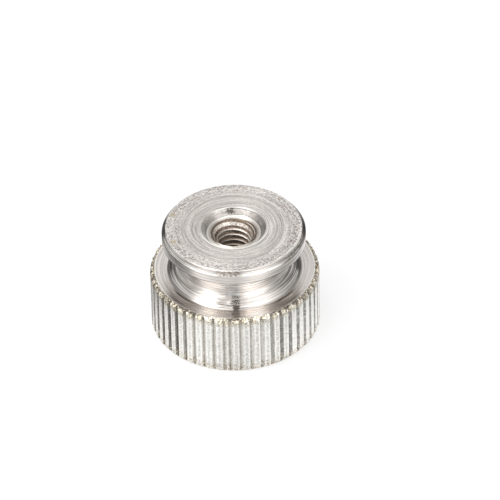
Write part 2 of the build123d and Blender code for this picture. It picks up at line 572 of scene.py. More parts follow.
def knurled_rim_group(lathe_grid):
    """The rim of the head: teeth with a wide and a steep flank, a wobble and ragged ends."""
    nodes, given, sink = new_group(
        "knurled_rim",
        "GeometryNodeTree",
        [
            ("Section", GEOMETRY, None),
            ("Rim Radius", FLOAT, HEAD_RADIUS),
            ("Pitch", FLOAT, KNURL_PITCH),
            ("Teeth", INTEGER, KNURL_TEETH),
            ("Seam Angle", FLOAT, math.radians(KNURL_SEAM_ANGLE)),
            ("Depth", FLOAT, KNURL_DEPTH),
            ("Floor Half Width", FLOAT, KNURL_FLOOR_HALF),
            ("Wide Flank", FLOAT, KNURL_WIDE_FLANK),
            ("Steep Flank", FLOAT, KNURL_STEEP_FLANK),
            ("Edge Width", FLOAT, KNURL_EDGE),
            ("Hollow", FLOAT, KNURL_HOLLOW),
            ("Shoulder Height", FLOAT, HEAD_HEIGHT),
            ("Wobble", FLOAT, KNURL_WOBBLE),
            ("Streaks", FLOAT, KNURL_STREAKS),
            ("Burr", FLOAT, KNURL_BURR),
            ("Seed", FLOAT, 0.0),
        ],
        [("Mesh", GEOMETRY)],
    )
    columns_per_tooth = 14
    groove_columns = 4.5
    columns = given["Teeth"] * columns_per_tooth
    grid = nodes.group(lathe_grid, {"Section": given["Section"], "Columns": columns})
    radius, height = grid["Radius"], grid["Height"]

    # The last column of points falls on the first, which closes the rim.
    column = nodes.math("MODULO", grid["Column"], columns)
    tooth = nodes.math("FLOOR", column / columns_per_tooth)
    step = column - tooth * columns_per_tooth
    near_start = nodes.math("LESS_THAN", step, columns_per_tooth / 2)
    from_groove = nodes.low(step, columns_per_tooth - 1 - step) + 0.5

    # The last tooth takes what the pitch leaves of the rim.
    is_last = nodes.math("COMPARE", tooth, given["Teeth"] - 1, 0.5)
    last_width = given["Rim Radius"] * math.tau - (given["Teeth"] - 1) * given["Pitch"]
    width = given["Pitch"] + (last_width - given["Pitch"]) * is_last

    wide, steep = given["Wide Flank"], given["Steep Flank"]
    flank = steep + (wide - steep) * near_start
    reach = flank + given["Edge Width"]
    land = width - wide - steep - given["Edge Width"] * 2
    climb = nodes.low(from_groove / groove_columns, 1.0)
    land_columns = columns_per_tooth / 2 - groove_columns
    across_land = nodes.high((from_groove - groove_columns) / land_columns, 0.0)
    distance = reach * climb + across_land * land * 0.5
    wobble = nodes.noise(nodes.join(tooth * 3.7, near_start, height * 1.3), 1.0, 2.0, 0.6)
    sideways = distance * near_start + (width - distance) * (1.0 - near_start)
    loose = nodes.low(climb, 1.0 - across_land * 0.8)
    sideways = sideways + (wobble - 0.5) * given["Wobble"] * loose
    angle = given["Seam Angle"] + (tooth * given["Pitch"] + sideways) / given["Rim Radius"]

    floor_half = given["Floor Half Width"]
    rise = nodes.unit((distance - floor_half) / (flank - floor_half))
    sunk = given["Depth"] * (1.0 - rise)
    hollow = given["Hollow"] * nodes.low(across_land * 1.6, 1.0)

    # Streaks along the teeth, and ragged metal where they end
    around = round_point(nodes, angle, given["Rim Radius"], height * 0.12)
    streak = nodes.noise(around, 5.0, 2.0, 0.6, given["Seed"])
    knurl_radius = given["Rim Radius"] - sunk - hollow - streak * given["Streaks"]
    cut_radius = nodes.low(radius, knurl_radius)
    is_cut = nodes.math("LESS_THAN", knurl_radius, radius)
    floor_line = nodes.ramp(distance, floor_half + 0.09, floor_half)
    flank_grey = nodes.ramp(distance, reach + 0.02, flank - 0.04) * (0.85 - near_start * 0.22)
    ridge = nodes.math("COMPARE", from_groove, groove_columns, 0.6)

    shoulder = given["Shoulder Height"]
    rim = nodes.ramp(radius, given["Rim Radius"] - 0.37, given["Rim Radius"] - 0.27)
    at_top = nodes.ramp(height, shoulder - 0.75, shoulder - 0.15) * rim
    at_foot = nodes.ramp(height, 0.5, 0.1) * rim
    ends = round_point(nodes, angle, cut_radius, height)
    torn = nodes.noise(ends, 3.6, 3.0, 0.65, given["Seed"] + 7.0)
    lift = (torn - 0.5) * given["Burr"] * 4.0 * (at_top + at_foot * 0.25)
    near_lip = nodes.band(radius, given["Rim Radius"] - 0.30, given["Rim Radius"] - 0.08, 0.06)
    lip = near_lip * at_top * nodes.ramp(torn, 0.42, 0.62) * given["Burr"] * 1.8
    ragged_radius = nodes.low(cut_radius + lift * 0.7, given["Rim Radius"])
    ragged_height = nodes.high(height + lift * 0.7 * at_top + lip, 0.0)

    marks = {
        "groove": is_cut * floor_line,
        "flank": is_cut * flank_grey,
        "ridge": ridge,
        "from_groove": distance,
        "left_half": near_start,
        "hollow": across_land,
        "tooth_end": at_top + at_foot * 0.6,
        "knurl": 1.0,
    }
    mesh = grid["Mesh"]
    for name, value in marks.items():
        mesh = store(nodes, mesh, name, value)
    skin = place_round(nodes, mesh, angle, ragged_radius, ragged_height)
    nodes.feed(sink.inputs["Mesh"], skin.outputs["Geometry"])
    return nodes.tree


def tapped_hole_group():
    """A right-hand thread whose rows follow the helix, opened by a cone at each end."""
    nodes, given, sink = new_group(
        "tapped_hole",
        "GeometryNodeTree",
        [
            ("Minor Radius", FLOAT, THREAD_MINOR_RADIUS),
            ("Major Radius", FLOAT, THREAD_MAJOR_RADIUS),
            ("Pitch", FLOAT, THREAD_PITCH),
            ("Top Height", FLOAT, LEDGE_HEIGHT),
            ("Top Radius", FLOAT, LEDGE_RADIUS),
            ("Lead In Height", FLOAT, LEAD_IN_HEIGHT),
            ("Foot Radius", FLOAT, FOOT_COUNTERSINK_RADIUS),
            ("Foot Cone Height", FLOAT, FOOT_COUNTERSINK_HEIGHT),
            ("Start Angle", FLOAT, math.radians(90.0)),
            ("Columns", INTEGER, 96),
        ],
        [("Mesh", GEOMETRY)],
    )
    rows_per_turn = 8
    # Where the crest ends and the root begins, in pitches from the middle of the crest
    crest_half = 0.125
    root_half = 0.4375
    turns = nodes.math("CEIL", given["Top Height"] / given["Pitch"] + 1.0)
    rows = turns * rows_per_turn
    grid = nodes.add(
        "GeometryNodeMeshGrid",
        {"Size X": 1.0, "Size Y": 1.0, "Vertices X": given["Columns"] + 1, "Vertices Y": rows + 1},
    )
    across, along, _ = nodes.split(grid.outputs["UV Map"])
    row = nodes.math("ROUND", along * rows)
    column = nodes.math("ROUND", across * given["Columns"])
    turn = column / given["Columns"]
    height = given["Top Height"] + (turn - row / rows_per_turn) * given["Pitch"]
    height = nodes.high(nodes.low(height, given["Top Height"]), 0.0)

    phase = nodes.math("ABSOLUTE", nodes.math("FRACT", row / rows_per_turn) - 0.5)
    tooth = nodes.unit((phase - crest_half) / (root_half - crest_half))
    minor = given["Minor Radius"]
    thread = minor + (given["Major Radius"] - minor) * tooth
    top_slope = (given["Top Radius"] - minor) / (given["Top Height"] - given["Lead In Height"])
    foot_slope = (given["Foot Radius"] - minor) / given["Foot Cone Height"]
    top_cone = minor + (height - given["Lead In Height"]) * top_slope
    foot_cone = minor + (given["Foot Cone Height"] - height) * foot_slope
    radius = nodes.high(thread, nodes.high(top_cone, foot_cone))

    mesh = store(nodes, grid.outputs["Mesh"], "thread_depth", tooth)
    mesh = store(nodes, mesh, "tapped", 1.0)
    skin = place_round(nodes, mesh, given["Start Angle"] + turn * math.tau, radius, height)
    nodes.feed(sink.inputs["Mesh"], skin.outputs["Geometry"])
    return nodes.tree


def flat_ring_group():
    """Closes the level gap between two open rings of a mesh at one height."""
    nodes, given, sink = new_group(
        "flat_ring",
        "GeometryNodeTree",
        [
            ("Mesh", GEOMETRY, None),
            ("Height", FLOAT, 0.0),
            ("Facing Up", BOOLEAN, True),
        ],
        [("Mesh", GEOMETRY)],
    )
    _, _, height = nodes.split(nodes.field("GeometryNodeInputPosition"))
    faces = nodes.field("GeometryNodeInputMeshEdgeNeighbors")
    is_open = nodes.math("LESS_THAN", faces, 1.5)
    is_level = nodes.math("COMPARE", height, given["Height"], 0.002)
    loops = nodes.add(
        "GeometryNodeMeshToCurve",
        {"Mesh": given["Mesh"], "Selection": is_open * is_level},
    )
    filled = nodes.add("GeometryNodeFillCurve", {"Curve": loops.outputs["Curve"]}, mode="TRIANGLES")
    raised = nodes.add(
        "GeometryNodeSetPosition",
        {"Geometry": filled.outputs["Mesh"], "Offset": nodes.join(0.0, 0.0, given["Height"])},
    )
    _, _, facing = nodes.split(nodes.field("GeometryNodeInputNormal"))
    is_up = nodes.math("GREATER_THAN", facing, 0.0)
    is_wrong = nodes.math("COMPARE", is_up, given["Facing Up"], 0.5)
    turned = nodes.add(
        "GeometryNodeFlipFaces",
        {"Mesh": raised.outputs["Geometry"], "Selection": 1.0 - is_wrong},
    )
    nodes.feed(sink.inputs["Mesh"], turned.outputs["Mesh"])
    return nodes.tree


# Sizes that the whole nut takes from outside its tree
NUT_SIZES = [
    ("Section Step", FLOAT, SECTION_STEP),
    ("Rim Step", FLOAT, RIM_STEP),
    ("Ring Relief", FLOAT, RING_RELIEF),
    ("Face Relief", FLOAT, FACE_RELIEF),
    ("Columns", INTEGER, COLUMNS),
    ("Knurl Pitch", FLOAT, KNURL_PITCH),
    ("Knurl Teeth", INTEGER, KNURL_TEETH),
    ("Knurl Burr", FLOAT, KNURL_BURR),
    ("Thread Pitch", FLOAT, THREAD_PITCH),
    ("Thread Major Radius", FLOAT, THREAD_MAJOR_RADIUS),
    ("Seed", FLOAT, SEED),
]


def nut_tree(lathe_grid, materials):
    """The whole nut in one closed skin, from the sections of its turned part and its rim."""
    nodes, given, sink = new_group(
        "knurled_thumb_nut",
        "GeometryNodeTree",
        [("Section", GEOMETRY, None), ("Rim Section", OBJECT, None), *NUT_SIZES],
        [("Mesh", GEOMETRY)],
    )
    nodes.tree.is_modifier = True
    fine_section = fine_section_group()
    section = nodes.group(fine_section, {
        "Section": given["Section"],
        "Step": given["Section Step"],
        "Ring Relief": given["Ring Relief"],
        "Face Relief": given["Face Relief"],
        "Seed": given["Seed"],
    })["Section"]
    rim_line = nodes.add("GeometryNodeObjectInfo", {"Object": given["Rim Section"]})
    rim_section = nodes.group(fine_section, {
        "Section": rim_line.outputs["Geometry"],
        "Step": given["Rim Step"],
        "Ring Relief": 0.0,
        "Face Relief": 0.0,
        "Seed": given["Seed"],
    })["Section"]
    turned = nodes.group(turned_skin_group(lathe_grid), {
        "Section": section,
        "Columns": given["Columns"],
    })["Mesh"]
    rim = nodes.group(knurled_rim_group(lathe_grid), {
        "Section": rim_section,
        "Pitch": given["Knurl Pitch"],
        "Teeth": given["Knurl Teeth"],
        "Burr": given["Knurl Burr"],
        "Seed": given["Seed"],
    })["Mesh"]
    thread = nodes.group(tapped_hole_group(), {
        "Pitch": given["Thread Pitch"],
        "Major Radius": given["Thread Major Radius"],
    })["Mesh"]

    def welded(parts):
        """Parts in one skin, closed where their edges meet."""
        joined = nodes.add("GeometryNodeJoinGeometry")
        for part in parts:
            nodes.feed(joined.inputs[0], part)
        return nodes.field(
            "GeometryNodeMergeByDistance", {"Geometry": joined.outputs[0], "Distance": 0.0005}
        )

    open_skin = welded([turned, rim, thread])
    flat_ring = flat_ring_group()
    flats = []
    for height, facing_up in ((0.0, False), (HEAD_HEIGHT, True), (LEDGE_HEIGHT, True)):
        flat = nodes.group(flat_ring, {
            "Mesh": open_skin,
            "Height": height,
            "Facing Up": facing_up,
        })
        flats.append(flat["Mesh"])
    skin = welded([open_skin, *flats])

    smooth = nodes.add("GeometryNodeSetShadeSmooth", {0: skin}, domain="FACE")
    bend = nodes.field("GeometryNodeInputMeshEdgeAngle")
    crisp = nodes.add(
        "GeometryNodeSetShadeSmooth",
        {
            0: smooth.outputs[0],
            "Selection": nodes.math("GREATER_THAN", bend, math.radians(38.0)),
            "Shade Smooth": False,
        },
        domain="EDGE",
    )
    in_metres = nodes.add(
        "GeometryNodeTransform", {"Geometry": crisp.outputs[0], "Scale": (MM, MM, MM)}
    )
    final = nodes.add("GeometryNodeRealizeInstances", {"Geometry": in_metres.outputs[0]}).outputs[0]
    for material, mark in materials:
        selection = True
        if mark:
            here = nodes.field("GeometryNodeInputNamedAttribute", {"Name": mark}, data_type="FLOAT")
            selection = nodes.math("GREATER_THAN", here, 0.5)
        painted = nodes.add(
            "GeometryNodeSetMaterial",
            {"Geometry": final, "Selection": selection, "Material": material},
        )
        final = painted.outputs[0]
    nodes.feed(sink.inputs["Mesh"], final)
    return nodes.tree


def arc(centre, radius, start, end, steps):
    """Points on a circle between two angles, both ends included."""
    points = []
    for i in range(steps + 1):
        turn = math.radians(start + (end - start) * i / steps)
        points.append((centre[0] + radius * math.cos(turn), centre[1] + radius * math.sin(turn), 0.0))
    return points


def section_curve(name, points):
    """A half section as a line of points: radius, height and the rounding of each corner."""
    data = bpy.data.curves.new(name, "CURVE")
    data.dimensions = "3D"
    spline = data.splines.new("POLY")
    spline.points.add(len(points) - 1)
    for target, (radius, height, rounding) in zip(spline.points, points):
        target.co = (radius, 0.0, height, 1.0)
        target.radius = rounding
    return into_scene(name, data)


def turned_section():
    """From the shoulder, up the neck and over the collar, down to the ledge in the mouth."""
    neck_blend = NECK_FOOT_HEIGHT - TOOL_LINE_HEIGHT
    neck_flare = TOOL_LINE_RADIUS - NECK_RADIUS
    blend_radius = (neck_blend**2 + neck_flare**2) / (2 * neck_flare)
    blend_turn = math.degrees(math.asin(neck_blend / blend_radius))
    round_radius = COLLAR_FOOT_HEIGHT - NECK_TOP_HEIGHT
    edge = COLLAR_EDGE_RADIUS
    flare_slope = (TOOL_LINE_HEIGHT - HEAD_HEIGHT) / (FLARE_FOOT_RADIUS - TOOL_LINE_RADIUS)
    tool_line_step = 0.07
    tool_line_riser = 0.012
    return [
        (HEAD_RADIUS - SHOULDER_CHAMFER_WIDTH - SHOULDER_LAP, HEAD_HEIGHT, 0.0),
        (FLARE_FOOT_RADIUS, HEAD_HEIGHT, 0.10),
        (TOOL_LINE_RADIUS + tool_line_step, TOOL_LINE_HEIGHT - tool_line_step * flare_slope, 0.0),
        (TOOL_LINE_RADIUS + tool_line_step, TOOL_LINE_HEIGHT - tool_line_riser, 0.0),
        *arc((NECK_RADIUS + blend_radius, NECK_FOOT_HEIGHT), blend_radius, 180 + blend_turn, 180, 9),
        *arc((NECK_RADIUS + round_radius, NECK_TOP_HEIGHT), round_radius, 180, 90, 14),
        *arc((COLLAR_RADIUS - edge, COLLAR_FOOT_HEIGHT + edge), edge, -90, 0, 4),
        (COLLAR_RADIUS, CHAMFER_FOOT_HEIGHT, 0.05),
        (FACE_RIM_RADIUS, OVERALL_HEIGHT, 0.03),
        (MOUTH_RADIUS, OVERALL_HEIGHT, 0.06),
        (MOUTH_FLOOR_RADIUS, MOUTH_FLOOR_HEIGHT, 0.05),
        (LEDGE_RADIUS + 0.10, LEDGE_HEIGHT, 0.0),
        (LEDGE_RADIUS + LEDGE_LAP, LEDGE_HEIGHT, 0.0),
    ]


def rim_section():
    """From the foot of the head, up the knurl, to the edge of the shoulder."""
    foot_edge = HEAD_RADIUS - FOOT_CHAMFER_WIDTH
    shoulder_edge = HEAD_RADIUS - SHOULDER_CHAMFER_WIDTH
    points = [(foot_edge - FOOT_LAP, 0.0, 0.0)]
    chamfers = [
        (foot_edge, 0.0, HEAD_RADIUS, FOOT_CHAMFER_HEIGHT),
        (HEAD_RADIUS, HEAD_HEIGHT - SHOULDER_CHAMFER_HEIGHT, shoulder_edge, HEAD_HEIGHT),
    ]
    steps = 6
    for first_radius, first_height, last_radius, last_height in chamfers:
        for i in range(steps + 1):
            share = i / steps
            radius = first_radius + (last_radius - first_radius) * share
            height = first_height + (last_height - first_height) * share
            points.append((radius, height, 0.0))
    points.append((shoulder_edge - RIM_LAP, HEAD_HEIGHT, 0.0))
    return points


def plain_mesh(piece, modifier):
    """Turns what the modifier makes into a plain mesh object of the same name."""
    graph = bpy.context.evaluated_depsgraph_get()
    mesh = bpy.data.meshes.new_from_object(piece.evaluated_get(graph))
    if mesh.materials[0] is None:
        mesh.materials.pop(index=0)
    name = piece.name
    piece.modifiers.remove(modifier)
    bpy.data.objects.remove(piece)
    mesh.name = name
    return into_scene(name, mesh)


def set_inputs(modifier, values):
    """Sets a modifier's inputs by the identifiers of their sockets."""
    for item in modifier.node_group.interface.items_tree:
        if item.item_type == "SOCKET" and item.in_out == "INPUT" and item.name in values:
            modifier[item.identifier] = values[item.name]


def make_nut(materials):
    """The nut as a plain mesh. Each material comes with the value that marks its faces."""
    rim = section_curve("rim_section", rim_section())
    nut = section_curve("knurled_nut", turned_section())
    modifier = nut.modifiers.new("turned", "NODES")
    modifier.node_group = nut_tree(lathe_grid_group(), materials)
    sizes = {name: size for name, _, size in NUT_SIZES}
    set_inputs(modifier, {"Rim Section": rim, **sizes})
    nut = plain_mesh(nut, modifier)
    bpy.data.objects.remove(rim)
    return nut


# Materials


def new_material(name):
    """A material with an empty node tree."""
    material = bpy.data.materials.new(name)
    material.use_nodes = True
    material.node_tree.nodes.clear()
    return material, Nodes(material.node_tree)


def turned_place_group():
    """Where a point lies on the nut, in millimetres and degrees, with the front at nought."""
    nodes, _, sink = new_group(
        "turned_place",
        "ShaderNodeTree",
        [],
        [
            ("Point", VECTOR),
            ("Around", VECTOR),
            ("Radius", FLOAT),
            ("Height", FLOAT),
            ("Angle", FLOAT),
            ("Off Back", FLOAT),
        ],
    )
    coordinates = nodes.add("ShaderNodeTexCoord")
    point = nodes.tone(coordinates.outputs["Object"], 1.0 / MM)
    x, y, z = nodes.split(point)
    radius = nodes.math("SQRT", x * x + y * y)
    angle = nodes.math("DEGREES", nodes.math("ARCTAN2", x, y * -1.0))
    values = {
        "Point": point,
        "Around": nodes.join(x / radius, y / radius, 0.0),
        "Radius": radius,
        "Height": z,
        "Angle": angle,
        "Off Back": nodes.ramp(nodes.math("ABSOLUTE", angle), 172.0, 135.0),
    }
    for name, value in values.items():
        nodes.feed(sink.inputs[name], value)
    return nodes.tree


def turning_marks_group(place):
    """Fine rings left by the turning tool. Their shade runs from -1, dark, to 1, bright."""
    nodes, given, sink = new_group(
        "turning_marks",
        "ShaderNodeTree",
        [
            ("Rings", FLOAT, 8.0),
            ("Wander", FLOAT, 1.5),
            ("Depth", FLOAT, 0.004),
            ("Seed", FLOAT, 0.0),
        ],
        [("Shade", FLOAT), ("Normal", VECTOR)],
    )
    where = nodes.group(place, {})
    cosine, sine, _ = nodes.split(where["Around"])
    rings = given["Rings"]
    vector = nodes.join(where["Radius"] * rings, where["Height"] * rings, cosine * given["Wander"])
    shade = 0.0
    for shift, sign in ((0.0, 1.0), (17.0, -1.0)):
        wave = nodes.noise(vector, 1.0, 2.0, 0.6, sine * given["Wander"] + given["Seed"] + shift)
        line = nodes.ramp(nodes.math("ABSOLUTE", wave - 0.5), 0.07, 0.02)
        shade = line * sign + shade
    bump = nodes.add("ShaderNodeBump", {"Height": shade, "Distance": given["Depth"] * MM})
    nodes.feed(sink.inputs["Shade"], shade)
    nodes.feed(sink.inputs["Normal"], bump.outputs["Normal"])
    return nodes.tree


def mottle_group(place):
    """Uneven patches, drawn out along the turning, as a share between nought and one."""
    nodes, given, sink = new_group(
        "mottle",
        "ShaderNodeTree",
        [
            ("Patches", FLOAT, 5.0),
            ("Stretch", FLOAT, 2.0),
            ("Level", FLOAT, 0.55),
            ("Edge", FLOAT, 0.05),
            ("Seed", FLOAT, 0.0),
        ],
        [("Share", FLOAT)],
    )
    where = nodes.group(place, {})
    cosine, sine, _ = nodes.split(where["Around"])
    around = where["Radius"] * given["Patches"] / given["Stretch"]
    vector = nodes.join(cosine * around, sine * around, where["Radius"] * given["Patches"])
    upward = where["Height"] * given["Patches"] + given["Seed"]
    noise = nodes.noise(vector, 1.0, 2.0, 0.6, upward)
    share = nodes.ramp(noise, given["Level"] - given["Edge"], given["Level"] + given["Edge"])
    nodes.feed(sink.inputs["Share"], share)
    return nodes.tree


def local_mark_group(place):
    """A ragged mark round one point of the surface, with coarse grain."""
    nodes, given, sink = new_group(
        "local_mark",
        "ShaderNodeTree",
        [
            ("Centre", VECTOR, None),
            ("Size", FLOAT, 0.4),
            ("Ragged", FLOAT, 1.5),
            ("Grain", FLOAT, 5.0),
        ],
        [("Share", FLOAT)],
    )
    where = nodes.group(place, {})
    distance = nodes.field(
        "ShaderNodeVectorMath", {0: where["Point"], 1: given["Centre"]}, output=1,
        operation="DISTANCE",
    )
    noise = nodes.noise(where["Point"], given["Grain"], 3.0, 0.65)
    reach = distance / given["Size"] + (noise - 0.5) * given["Ragged"] * 2.0
    nodes.feed(sink.inputs["Share"], nodes.ramp(reach, 1.0, 0.6))
    return nodes.tree


def corner_line_group(place):
    """A thin line with uneven edges along one turned corner."""
    nodes, given, sink = new_group(
        "edge_wear",
        "ShaderNodeTree",
        [
            ("Radius", FLOAT, 1.0),
            ("Height", FLOAT, 0.0),
            ("Width", FLOAT, 0.05),
        ],
        [("Share", FLOAT)],
    )
    where = nodes.group(place, {})
    out = where["Radius"] - given["Radius"]
    up = where["Height"] - given["Height"]
    away = nodes.math("SQRT", out * out + up * up) / given["Width"]
    noise = nodes.noise(where["Point"], 4.0, 2.0, 0.6)
    nodes.feed(sink.inputs["Share"], nodes.ramp(away + (noise - 0.5) * 0.8, 1.2, 0.5))
    return nodes.tree


# Colours of the bare metal, of what lies on it, and of painted light and shade
NICKEL = (0.635, 0.598, 0.568, 1.0)
# Pale bare metal for flecks on the face, and painted highlights on corners, rings and the lip
BARE_METAL_AND_HIGHLIGHT = (0.95, 0.93, 0.89, 1.0)
WARM_FILM = (0.50, 0.425, 0.36, 1.0)
BROWN_FILM = (0.36, 0.295, 0.22, 1.0)
# Near black for smut, specks and chips, and for painted shade and painted dark reflections
DARK_SMUT_AND_SHADE = (0.10, 0.085, 0.075, 1.0)
TAN_SPOT = (0.55, 0.46, 0.30, 1.0)
PIT_BROWN = (0.28, 0.22, 0.21, 1.0)
CREAM_BURR = (0.64, 0.58, 0.45, 1.0)
PALE_LEDGE = (0.68, 0.63, 0.57, 1.0)
# Dark brown for the streak and the stains, and for painted shade on the shoulder beside the front
BROWN_STAIN_AND_SHADE = (0.20, 0.165, 0.125, 1.0)
SATIN_LAND = (0.87, 0.855, 0.815, 1.0)
# Painted highlight along the edges of the teeth
RIDGE_HIGHLIGHT = (0.97, 0.96, 0.93, 1.0)
GLINT_WHITE = (1.0, 0.98, 0.93, 1.0)
# Dirt in the grooves, together with painted shade in them
GROOVE_DIRT_AND_SHADE = (0.17, 0.16, 0.15, 1.0)
THREAD_BROWN = (0.13, 0.095, 0.07, 1.0)


class Finish:
    """A metal surface being finished: where its points lie, and its colour so far."""

    def __init__(self, name, kit, base, front=0.0):
        self.material, self.nodes = new_material(name)
        self.kit = kit
        self.colour = base
        where = self.nodes.group(kit["place"], {})
        self.point = where["Point"]
        self.radius = where["Radius"]
        self.height = where["Height"]
        self.angle = where["Angle"]
        self.off_back = where["Off Back"]
        self.off_front = self.nodes.math("ABSOLUTE", self.angle - front)
        self.cosine, self.sine, _ = self.nodes.split(where["Around"])

    def tone(self, value):
        """Makes the colour lighter or darker."""
        self.colour = self.nodes.tone(self.colour, value)

    def lay(self, share, colour):
        """Lays another colour over a share of the surface."""
        self.colour = self.nodes.blend(share, self.colour, colour)

    def noise(self, scale, detail, roughness, seed=0.0):
        return self.nodes.noise(self.point, scale, detail, roughness, seed)

    def turning(self, rings, depth, seed):
        """The shade and the normal of the rings that a turning tool leaves."""
        values = {"Rings": rings, "Wander": 0.5, "Depth": depth, "Seed": seed}
        return self.nodes.group(self.kit["marks"], values)

    def mottle(self, patches, stretch, level, edge, seed=0.0):
        """The share of uneven patches."""
        values = {
            "Patches": patches,
            "Stretch": stretch,
            "Level": level,
            "Edge": edge,
            "Seed": seed,
        }
        return self.nodes.group(self.kit["mottle"], values)["Share"]

    def mark(self, centre, size, ragged, grain):
        """The share of a ragged mark round one point."""
        values = {"Centre": centre, "Size": size, "Ragged": ragged, "Grain": grain}
        return self.nodes.group(self.kit["mark"], values)["Share"]

    def corner(self, radius, height, width):
        """The share of a thin line along one turned corner."""
        values = {"Radius": radius, "Height": height, "Width": width}
        return self.nodes.group(self.kit["edge"], values)["Share"]

    def attribute(self, name):
        """A value that the node tree of the nut keeps on its points."""
        node = self.nodes.add("ShaderNodeAttribute", attribute_type="GEOMETRY", attribute_name=name)
        return Field(self.nodes, node.outputs["Fac"])

    def bump(self, relief):
        """The normal of a fine relief."""
        values = {"Height": relief, "Distance": BUMP_DEPTH * MM}
        return self.nodes.add("ShaderNodeBump", values).outputs["Normal"]

    def metal(self, roughness, normal, anisotropic=0.0):
        """Ends the material in a metal shader, brushed along the turning, and returns it."""
        nodes = self.nodes
        shader = nodes.add(
            "ShaderNodeBsdfPrincipled",
            {
                "Base Color": self.colour,
                "Metallic": 1.0,
                "Roughness": roughness,
                "Normal": normal,
                "Anisotropic": anisotropic,
                "Anisotropic Rotation": 0.25,
            },
        )
        if anisotropic:
            tangent = nodes.add("ShaderNodeTangent", direction_type="RADIAL", axis="Z")
            nodes.feed(shader.inputs["Tangent"], tangent.outputs[0])
        end_in(nodes, shader)
        return self.material


# Turned flare, neck, collar and mouth


def turned_zones(skin):
    """The share of each part of the turned surface, by the part's name."""
    nodes, radius, height = skin.nodes, skin.radius, skin.height
    shoulder = nodes.band(radius, FLARE_FOOT_RADIUS + 0.05, HEAD_RADIUS - 0.2, 0.05)
    top = nodes.ramp(height, HEAD_HEIGHT - 0.25, HEAD_HEIGHT - 0.15)
    chamfer = nodes.band(height, CHAMFER_FOOT_HEIGHT + 0.03, OVERALL_HEIGHT - 0.03, 0.02)
    return {
        "shoulder": shoulder * nodes.band(height, HEAD_HEIGHT - 0.2, HEAD_HEIGHT + 0.05, 0.05),
        "above shoulder": nodes.ramp(height, HEAD_HEIGHT + 0.02, HEAD_HEIGHT + 0.09),
        "flare": nodes.band(height, HEAD_HEIGHT + 0.05, TOOL_LINE_HEIGHT - 0.03, 0.05),
        "neck": nodes.band(height, HEAD_HEIGHT + 0.05, COLLAR_FOOT_HEIGHT, 0.05),
        "band": nodes.band(height, COLLAR_FOOT_HEIGHT, CHAMFER_FOOT_HEIGHT, 0.03),
        "chamfer": chamfer * nodes.ramp(radius, FACE_RIM_RADIUS - 0.22, FACE_RIM_RADIUS - 0.12),
        "mouth": nodes.ramp(radius, MOUTH_RADIUS + 0.1, MOUTH_RADIUS) * top,
        "top": top,
    }


def shade_rings(skin, zones, coarse, fine):
    """Lighter and darker turning rings, partly painted light and shade of their relief, fainter on the
    shoulder and the band, with the sides painted lighter.
    """
    nodes = skin.nodes
    at_sides = nodes.ramp(skin.off_front, 42.0, 65.0) * zones["above shoulder"]
    calm = nodes.band(skin.angle, -13.0, -3.0, 2.0) * zones["flare"]
    contrast = nodes.ramp(skin.height, 0.0, HEAD_HEIGHT, 0.15, 0.22) + at_sides * 0.12
    contrast = contrast * (1.0 - zones["shoulder"] * 0.35 - zones["band"] * 0.6)
    contrast = contrast * (1.0 - calm * 0.6)
    fine_contrast = zones["above shoulder"] * (0.3 + at_sides * 0.34 - calm * 0.2)
    # Painted light: the sides are made lighter; the rings are painted light and shade of their relief.
    skin.tone(0.96 + at_sides * 0.14 + coarse * contrast + fine * fine_contrast)


def film_and_light_shoulder(skin, zones):
    """A brown film on the shoulder in front, with painted shade beside it, painted highlights in two
    bright bands, and the shoulder painted lighter, less so at the right.
    """
    nodes, angle = skin.nodes, skin.angle
    film = skin.mottle(3.0, 4.0, 0.5, 0.25)
    in_front = nodes.band(angle, -52.0, 50.0, 12.0)
    at_right = nodes.ramp(angle, 55.0, 85.0) * skin.off_back
    brown = nodes.band(skin.off_front, 36.0, 55.0, 7.0)
    highlight_fans = nodes.band(angle, 8.0, 24.0, 5.0) * 0.58 + nodes.band(angle, -26.0, -16.0, 4.0) * 0.15
    shoulder = zones["shoulder"]
    # Painted light: the shoulder is made lighter, less so at the right.
    skin.tone(shoulder * (0.18 - at_right * 0.16) + 1.0)
    skin.lay(shoulder * in_front * (0.2 + film * 0.15), WARM_FILM)
    # Painted shade beside the front, in brown.
    skin.lay(shoulder * brown * (0.15 + film * 0.4), BROWN_STAIN_AND_SHADE)
    # Painted highlights in two bright bands, at the left and the right of the front.
    skin.tone(shoulder * highlight_fans + 1.0)


def streak_front(skin, zones, grain):
    """A ragged dark streak runs down the flare in front and over the shoulder."""
    nodes, angle, height = skin.nodes, skin.angle, skin.height
    chips = skin.noise(11.0, 2.0, 0.6, 41.0)
    across = nodes.band(angle + (grain - 0.5) * 8.0, -2.6, 3.5, 0.6) * zones["top"]
    spread = nodes.band(angle + (chips - 0.5) * 8.0, -3.2, 4.2, 1.5) * zones["top"]
    solid = nodes.ramp(height, STREAK_HEIGHT + 0.04, STREAK_HEIGHT - 0.04) * across
    chipped = nodes.band(height, STREAK_HEIGHT - 0.07, TOOL_LINE_HEIGHT + 0.17, 0.08) * spread
    smut = nodes.high(solid, chipped * nodes.ramp(chips, 0.47, 0.51))
    outwards = nodes.ramp(skin.radius, FLARE_FOOT_RADIUS + 0.15, FLARE_FOOT_RADIUS + 0.55, 0.72)
    skin.lay(across * zones["shoulder"] * (0.4 + grain * 0.6) * outwards, BROWN_STAIN_AND_SHADE)
    skin.lay(smut * (1.0 - zones["shoulder"]), DARK_SMUT_AND_SHADE)


